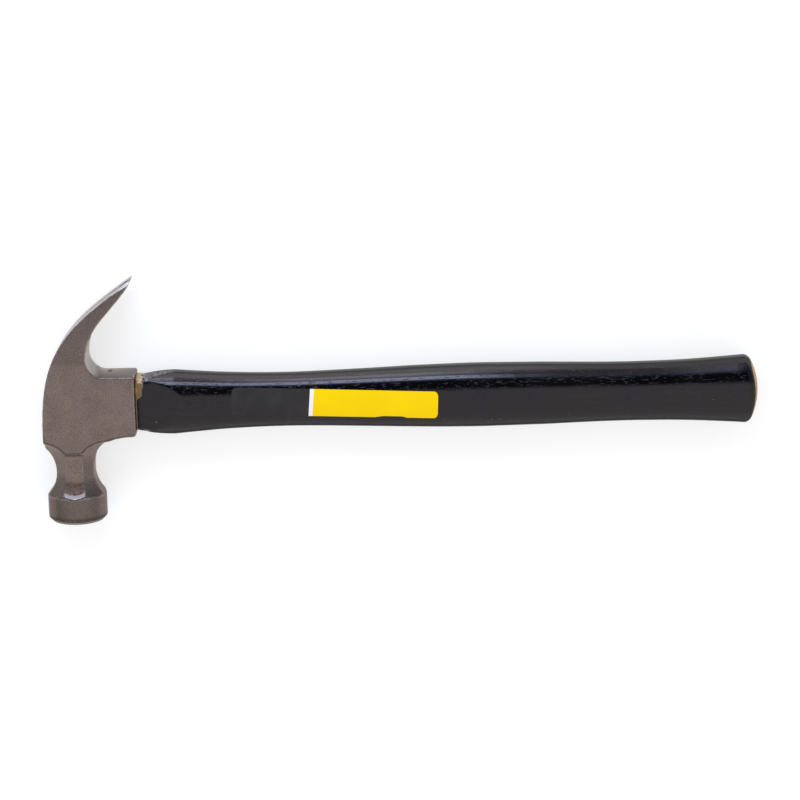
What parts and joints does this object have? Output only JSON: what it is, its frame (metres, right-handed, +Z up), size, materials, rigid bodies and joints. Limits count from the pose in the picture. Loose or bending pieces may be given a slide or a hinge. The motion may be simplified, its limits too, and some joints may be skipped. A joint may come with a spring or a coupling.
{
  "type": "claw hammer",
  "caption": "Curved claw hammer: forged steel head with nail-pulling claw, eight-sided neck and crowned face, wedged onto a waisted black lacquered wooden handle.",
  "frame": {"origin": "middle of the bottom of the hammer's box as it lies on its side, on the table that the poll touches", "axes": "+X from the head along the handle to the butt, +Y towards the claws, +Z up out of the upper cheek"},
  "size_m": [0.2852, 0.0984, 0.0236],
  "materials": {
    "forged_steel": "satin forged steel, grey-brown, lightly grained, under a thin clear coat",
    "lacquered_wood": "gloss black lacquer over open-pored hardwood; bare wood on the domed end",
    "wedge_wood": "bare hardwood",
    "wedge_steel": "bright mild steel",
    "amber_glue": "amber resin, glossy",
    "label_film": "printed film, yellow and black"
  },
  "bodies": {
    "root": {"head": "forged_steel", "handle": "lacquered_wood", "wood_wedge": "wedge_wood", "steel_wedge_claw_side": "wedge_steel", "steel_wedge_face_side": "wedge_steel", "eye_glue": "amber_glue", "label": "label_film"}
  },
  "joints": []
}
